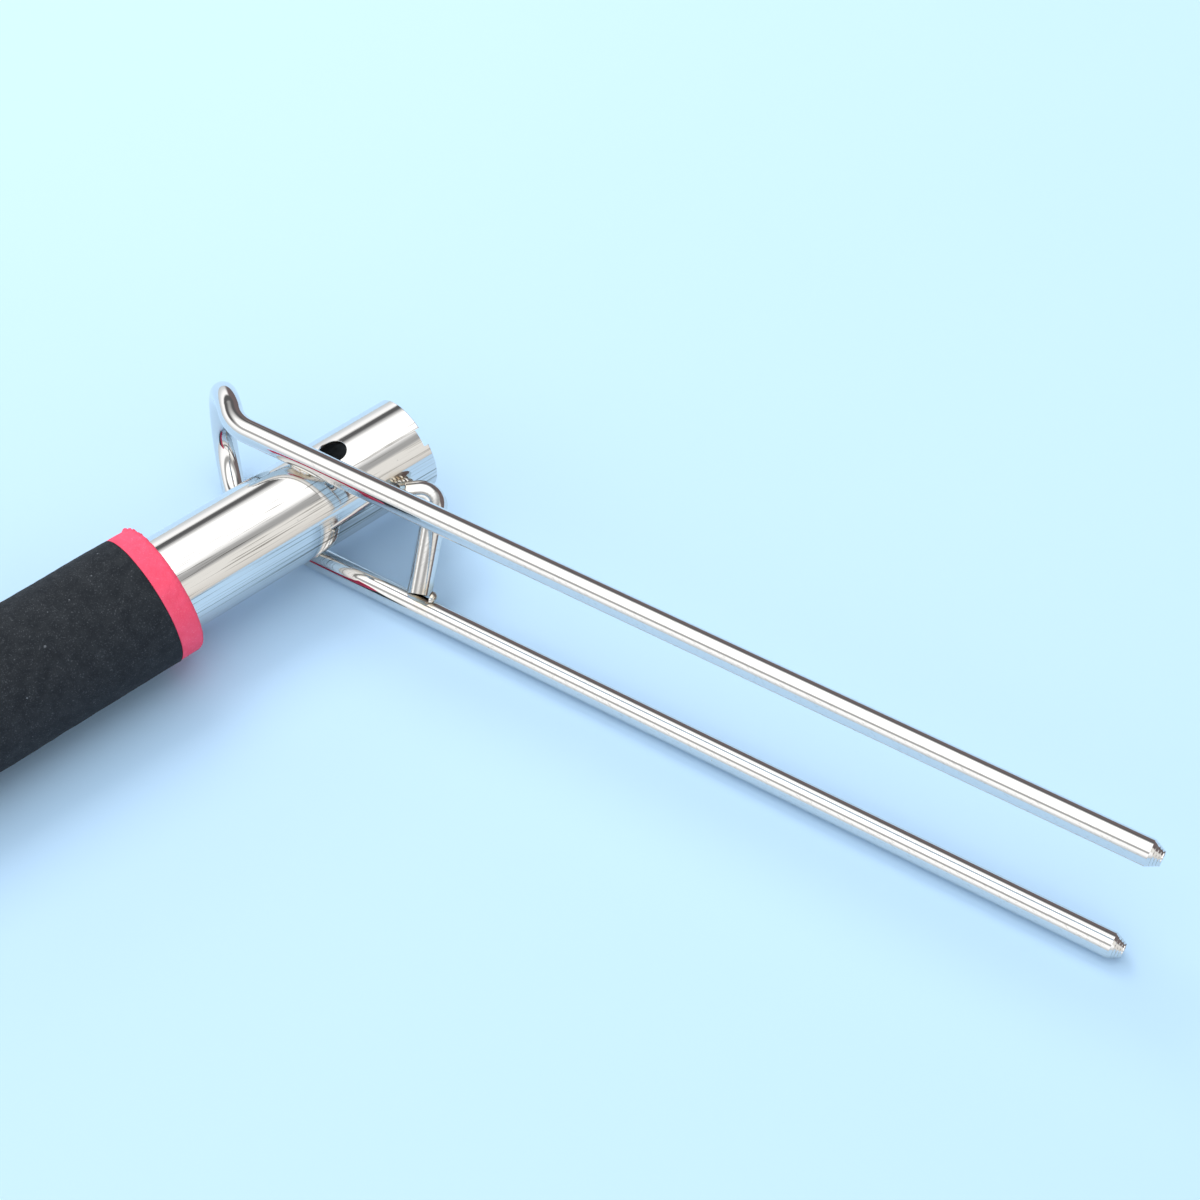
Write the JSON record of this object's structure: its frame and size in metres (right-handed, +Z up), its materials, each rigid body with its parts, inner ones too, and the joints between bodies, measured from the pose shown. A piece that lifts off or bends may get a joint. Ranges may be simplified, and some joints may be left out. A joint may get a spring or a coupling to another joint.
{
  "type": "two-pronged ground rod holder",
  "caption": "Polished steel ground-stake rod holder: a foam-gripped tube welded across a long hairpin fork, with a short bent brace.",
  "frame": {"origin": "centre of the bounding box in plan, on the ground that the holder lies on", "axes": "+Z up; +Y along the rod tube, in plan, from the grip's mouth to the notched end; +X the side that the fork's prongs run to, at 18 degrees from the axis"},
  "size_m": [0.326, 0.2714, 0.0487],
  "materials": {
    "polished_bar": "mirror-polished stainless steel bar",
    "polished_tube": "mirror-polished stainless steel tube with faint lengthwise polishing lines",
    "weld_metal": "rippled weld bead with straw and brown heat tint",
    "black_foam": "matte closed-cell foam, dusty",
    "red_foam": "matte coral-red closed-cell foam with a rough cut edge"
  },
  "bodies": {
    "root": {"hairpin_fork": "polished_bar", "rod_tube": "polished_tube", "brace_bar": "polished_bar", "foam_grip": "black_foam", "foam_end_ring": "red_foam", "weld_upper_prong": "weld_metal", "weld_lower_prong": "weld_metal", "weld_brace_foot": "weld_metal", "weld_brace_head": "weld_metal"}
  },
  "joints": []
}
